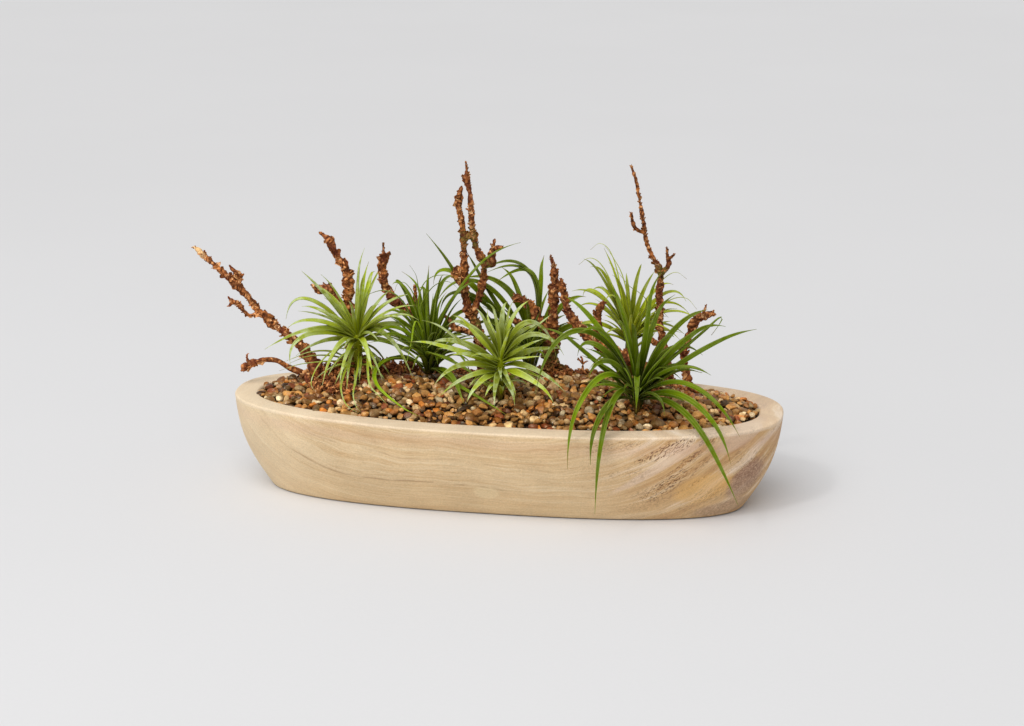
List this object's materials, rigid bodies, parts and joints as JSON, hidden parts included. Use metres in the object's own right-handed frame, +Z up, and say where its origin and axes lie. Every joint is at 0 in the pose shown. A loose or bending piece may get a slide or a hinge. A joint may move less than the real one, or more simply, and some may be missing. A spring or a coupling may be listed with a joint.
{
  "type": "air plant garden in a wooden bowl",
  "caption": "Long carved wooden bowl filled with pea gravel, planted with air plants among rough, bark-covered twigs.",
  "frame": {"origin": "centre of the bowl's flat foot", "axes": "+X along the bowl towards its wider end, +Y towards the back where the tall twigs stand, +Z up"},
  "size_m": [0.5529, 0.2118, 0.2981],
  "materials": {
    "bowl_wood": "carved from one block of pale wood, sanded, unvarnished",
    "foam": "dry, open-celled foam, unseen",
    "gravel": "tumbled pea gravel in browns, tans and greys, slightly glossy",
    "bark": "rough, flaking red-brown bark with a little moss",
    "leaves_left": "smooth, slightly waxy green leaf",
    "leaves_back_left": "smooth, slightly waxy green leaf",
    "leaves_behind": "smooth, slightly waxy green leaf",
    "leaves_front": "smooth, slightly waxy green leaf",
    "leaves_back_right": "smooth, slightly waxy green leaf",
    "leaves_right": "smooth, slightly waxy green leaf"
  },
  "bodies": {
    "root": {"bowl": "bowl_wood", "foam_bed": "foam", "gravel": "gravel", "twig_left": "bark", "twig_left_low": "bark", "twig_back_left": "bark", "twig_bent": "bark", "twig_centre": "bark", "twig_stump": "bark", "twig_lying": "bark", "twig_right": "bark", "twig_far_right": "bark", "plant_left": "leaves_left", "plant_back_left": "leaves_back_left", "plant_behind": "leaves_behind", "plant_front": "leaves_front", "plant_back_right": "leaves_back_right", "plant_right": "leaves_right"}
  },
  "joints": []
}
